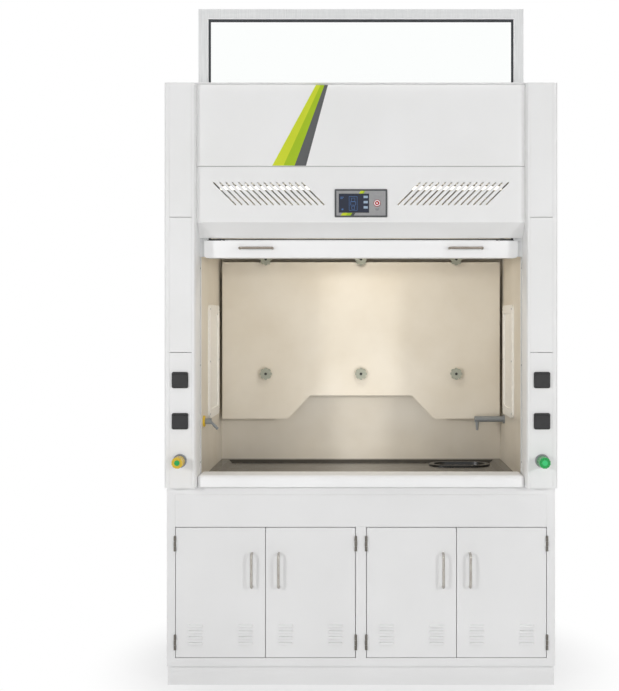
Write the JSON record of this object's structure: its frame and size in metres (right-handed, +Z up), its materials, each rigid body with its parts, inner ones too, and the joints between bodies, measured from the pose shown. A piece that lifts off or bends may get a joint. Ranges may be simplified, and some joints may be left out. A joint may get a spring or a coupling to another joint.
{
  "type": "fume hood",
  "caption": "Floor-standing fume hood: counterbalanced vertical sash, baffled chamber, dished worktop with drip cup, and a base cabinet with louvred doors.",
  "frame": {"origin": "on the floor under the middle of the body, halfway between the column fronts and the back", "axes": "+X to the user's right, +Y from the user to the wall, +Z up"},
  "size_m": [1.5, 0.927, 2.633],
  "materials": {
    "powder_coat": "satin",
    "galvanised_steel": "dull",
    "stainless_steel": "brushed",
    "cast_iron": "rough",
    "anodised_aluminium": "satin",
    "safety_glass": "clear",
    "lamp_glass": "frosted",
    "black_rubber": "matt",
    "resin_liner": "satin",
    "black_worktop": "gloss",
    "black_polypropylene": "satin",
    "grey_green_plastic": "satin",
    "coated_brass": "grey powder coat",
    "yellow_plastic": "gloss",
    "green_plastic": "gloss",
    "black_plastic": "satin",
    "display_bezel": "satin",
    "display_glass": "gloss",
    "button_plastic": "gloss"
  },
  "bodies": {
    "root": {"plinth": "powder_coat", "cabinet_carcass": "powder_coat", "cabinet_apron": "powder_coat", "front_sill": "powder_coat", "side_panel_left": "powder_coat", "side_panel_right": "powder_coat", "sash_post_left": "powder_coat", "sash_post_right": "powder_coat", "column_covers_left": "powder_coat", "column_covers_right": "powder_coat", "back_panel": "powder_coat", "roof": "powder_coat", "exhaust_collar": "powder_coat", "header_upper": "powder_coat", "header_lower": "powder_coat", "lamp_housing": "powder_coat", "access_covers": "powder_coat", "pulley_brackets": "galvanised_steel", "hinge_pins": "stainless_steel", "sash_cables": "stainless_steel", "lamp_window": "safety_glass", "lamp_tube": "lamp_glass", "liner_left": "resin_liner", "liner_right": "resin_liner", "back_liner": "resin_liner", "baffle_main": "resin_liner", "baffle_upper": "resin_liner", "ceiling_liner": "resin_liner", "worktop": "black_worktop", "drip_cup": "black_polypropylene", "baffle_knobs": "grey_green_plastic", "gas_outlet": "coated_brass", "water_outlet": "coated_brass", "valve_bodies": "coated_brass", "socket_bodies": "black_plastic", "door_catches": "black_plastic", "display_panel": "display_bezel", "display_screen": "display_glass"},
    "sash": {"sash_frame": "anodised_aluminium", "sash_gasket": "black_rubber", "sash_glass": "safety_glass", "sash_handle_bar": "powder_coat", "sash_pulls": "stainless_steel"},
    "weights": {"counterweights": "cast_iron"},
    "pulleys": {"pulley_shaft": "stainless_steel"},
    "gas_knob": {"gas_valve_knob": "yellow_plastic"},
    "water_knob": {"water_valve_knob": "green_plastic"},
    "button": {"push_button": "button_plastic"},
    "door_1": {"door_1": "powder_coat", "door_handle_1": "stainless_steel"},
    "lid_1": {"socket_lid_1": "black_plastic"},
    "door_2": {"door_2": "powder_coat", "door_handle_2": "stainless_steel"},
    "lid_2": {"socket_lid_2": "black_plastic"},
    "door_3": {"door_3": "powder_coat", "door_handle_3": "stainless_steel"},
    "lid_3": {"socket_lid_3": "black_plastic"},
    "door_4": {"door_4": "powder_coat", "door_handle_4": "stainless_steel"},
    "lid_4": {"socket_lid_4": "black_plastic"}
  },
  "joints": [
    {"name": "sash_slide", "type": "slide", "parent": "root", "child": "sash", "axis": [0, 0, 1], "range_m": [-0.838, 0], "deforming": ["sash_cables"]},
    {"name": "weight_slide", "type": "slide", "parent": "root", "child": "weights", "axis": [0, 0, 1], "range_m": [0, 0.838]},
    {"name": "pulley_turn", "type": "hinge", "parent": "root", "child": "pulleys", "pos_m": [0, -0.249, 2.25], "axis": [1, 0, 0], "range_deg": [0, 961]},
    {"name": "door_1_hinge", "type": "hinge", "parent": "root", "child": "door_1", "pos_m": [-0.718, -0.3739, 0.364], "axis": [0, 0, -1], "range_deg": [0, 120]},
    {"name": "door_2_hinge", "type": "hinge", "parent": "root", "child": "door_2", "pos_m": [-0.02, -0.3739, 0.364], "axis": [0, 0, 1], "range_deg": [0, 85]},
    {"name": "door_3_hinge", "type": "hinge", "parent": "root", "child": "door_3", "pos_m": [0.02, -0.3739, 0.364], "axis": [0, 0, -1], "range_deg": [0, 85]},
    {"name": "door_4_hinge", "type": "hinge", "parent": "root", "child": "door_4", "pos_m": [0.718, -0.3739, 0.364], "axis": [0, 0, 1], "range_deg": [0, 120]},
    {"name": "gas_knob_turn", "type": "hinge", "parent": "root", "child": "gas_knob", "pos_m": [-0.69, -0.465, 0.88], "axis": [0, -1, 0], "range_deg": [0, 90]},
    {"name": "water_knob_turn", "type": "hinge", "parent": "root", "child": "water_knob", "pos_m": [0.69, -0.465, 0.88], "axis": [0, -1, 0], "range_deg": [0, 180]},
    {"name": "lid_1_hinge", "type": "hinge", "parent": "root", "child": "lid_1", "pos_m": [-0.69, -0.4362, 1.2132], "axis": [-1, 0, 0], "range_deg": [0, 105], "stiffness_Nm_per_rad": 0.01},
    {"name": "lid_2_hinge", "type": "hinge", "parent": "root", "child": "lid_2", "pos_m": [-0.69, -0.4362, 1.0562], "axis": [-1, 0, 0], "range_deg": [0, 105], "stiffness_Nm_per_rad": 0.01},
    {"name": "lid_3_hinge", "type": "hinge", "parent": "root", "child": "lid_3", "pos_m": [0.69, -0.4362, 1.2132], "axis": [-1, 0, 0], "range_deg": [0, 105], "stiffness_Nm_per_rad": 0.01},
    {"name": "lid_4_hinge", "type": "hinge", "parent": "root", "child": "lid_4", "pos_m": [0.69, -0.4362, 1.0562], "axis": [-1, 0, 0], "range_deg": [0, 105], "stiffness_Nm_per_rad": 0.01},
    {"name": "button_press", "type": "slide", "parent": "root", "child": "button", "axis": [0, 1, 0], "range_m": [0, 0.002], "stiffness_N_per_m": 400}
  ],
  "couplings": [
    {"joint": "weight_slide", "follows": "sash_slide", "ratio": -1},
    {"joint": "pulley_turn", "follows": "sash_slide", "rad_per_m": -20}
  ]
}
